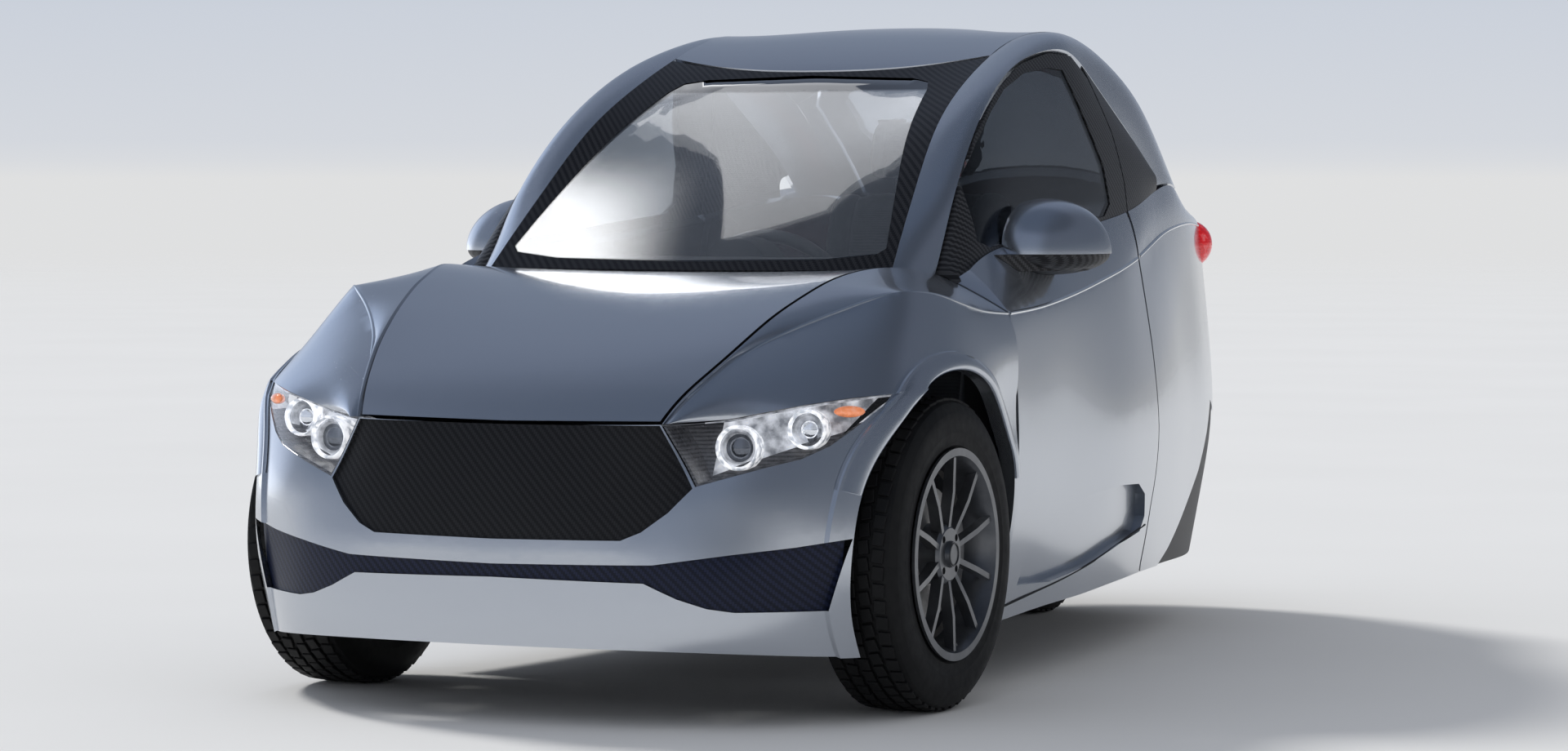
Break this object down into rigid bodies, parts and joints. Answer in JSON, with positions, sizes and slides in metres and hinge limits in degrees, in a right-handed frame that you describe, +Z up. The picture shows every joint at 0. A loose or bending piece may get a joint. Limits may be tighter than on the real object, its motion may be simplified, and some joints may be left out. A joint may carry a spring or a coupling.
{
  "type": "three wheeled car",
  "caption": "Small single seat electric car with front wheels that steer, one driven wheel below its tapering tail, hinged doors, hood and tailgate.",
  "frame": {"origin": "on the ground, at the middle of the car's length and width", "axes": "+Z up, the nose towards -Y, the driver's left is +X"},
  "size_m": [1.47, 3.12, 1.3526],
  "materials": {
    "paint": "metallic lacquer",
    "carbon_black": "woven carbon look, clear coated",
    "carbon_navy": "woven carbon look, clear coated",
    "tinted_glass": "clear, lightly tinted",
    "clear_lens": "clear polycarbonate",
    "red_lens": "clear red",
    "lamp_body": "bright reflector in a dark bucket",
    "black_plastic": "grained",
    "seat_cover": "woven with leather look bolsters",
    "structure": "composite, satin black",
    "battery_case": "moulded",
    "cast_alloy": "cast",
    "dark_steel": "black powder coat",
    "wheel_alloy": "dark grey lacquer",
    "tyre_rubber": "matte"
  },
  "bodies": {
    "body": {"bumper": "paint", "grille": "carbon_black", "lower_intake": "carbon_navy", "headlamp_lenses": "clear_lens", "headlamp_units": "lamp_body", "cowl": "black_plastic", "windscreen": "tinted_glass", "windscreen_frame": "carbon_black", "roof": "paint", "roof_rails": "paint", "quarter_trims": "carbon_black", "tail_frame": "paint", "rear_bumper": "paint", "diffuser": "carbon_black", "tail_lamps": "red_lens", "tub": "structure", "dashboard": "black_plastic", "steering_wheel": "black_plastic", "seat": "seat_cover", "battery": "battery_case", "motor": "cast_alloy", "front_suspension": "dark_steel", "swingarm": "dark_steel", "fender_left": "paint", "fender_right": "paint", "quarter_left": "paint", "quarter_right": "paint"},
    "hood": {"hood": "paint"},
    "tailgate": {"tailgate": "paint", "rear_window": "tinted_glass"},
    "door_left": {"door_left": "paint", "door_frame_left": "carbon_black", "door_glass_left": "tinted_glass", "mirror_left": "paint", "mirror_base_left": "carbon_black"},
    "door_right": {"door_right": "paint", "door_frame_right": "carbon_black", "door_glass_right": "tinted_glass", "mirror_right": "paint", "mirror_base_right": "carbon_black"},
    "steer_left": {"knuckle_left": "cast_alloy"},
    "steer_right": {"knuckle_right": "cast_alloy"},
    "wheel_left": {"front_rim_left": "wheel_alloy", "front_tyre_left": "tyre_rubber"},
    "wheel_right": {"front_rim_right": "wheel_alloy", "front_tyre_right": "tyre_rubber"},
    "wheel_rear": {"rear_rim": "wheel_alloy", "rear_tyre": "tyre_rubber"}
  },
  "joints": [
    {"name": "hood_hinge", "type": "hinge", "parent": "body", "child": "hood", "pos_m": [0, -0.787, 0.826], "axis": [-1, 0, 0], "range_deg": [0, 50]},
    {"name": "tailgate_hinge", "type": "hinge", "parent": "body", "child": "tailgate", "pos_m": [0, 0.652, 1.32], "axis": [1, 0, 0], "range_deg": [0, 65]},
    {"name": "door_left_hinge", "type": "hinge", "parent": "body", "child": "door_left", "pos_m": [0.658, -0.621, 0.46], "axis": [0, 0, -1], "range_deg": [0, 62]},
    {"name": "door_right_hinge", "type": "hinge", "parent": "body", "child": "door_right", "pos_m": [-0.658, -0.621, 0.46], "axis": [0, 0, 1], "range_deg": [0, 62]},
    {"name": "steer_left", "type": "hinge", "parent": "body", "child": "steer_left", "pos_m": [0.556, -1.004, 0.302], "axis": [0, 0, 1], "range_deg": [-32, 32]},
    {"name": "steer_right", "type": "hinge", "parent": "body", "child": "steer_right", "pos_m": [-0.556, -1.004, 0.302], "axis": [0, 0, 1], "range_deg": [-32, 32]},
    {"name": "wheel_left_spin", "type": "hinge", "parent": "steer_left", "child": "wheel_left", "pos_m": [0.618, -1.004, 0.302], "axis": [1, 0, 0], "continuous": true},
    {"name": "wheel_right_spin", "type": "hinge", "parent": "steer_right", "child": "wheel_right", "pos_m": [-0.618, -1.004, 0.302], "axis": [1, 0, 0], "continuous": true},
    {"name": "wheel_rear_spin", "type": "hinge", "parent": "body", "child": "wheel_rear", "pos_m": [0, 1.026, 0.302], "axis": [1, 0, 0], "continuous": true}
  ],
  "couplings": [
    {"joint": "steer_right", "follows": "steer_left", "ratio": 1}
  ]
}
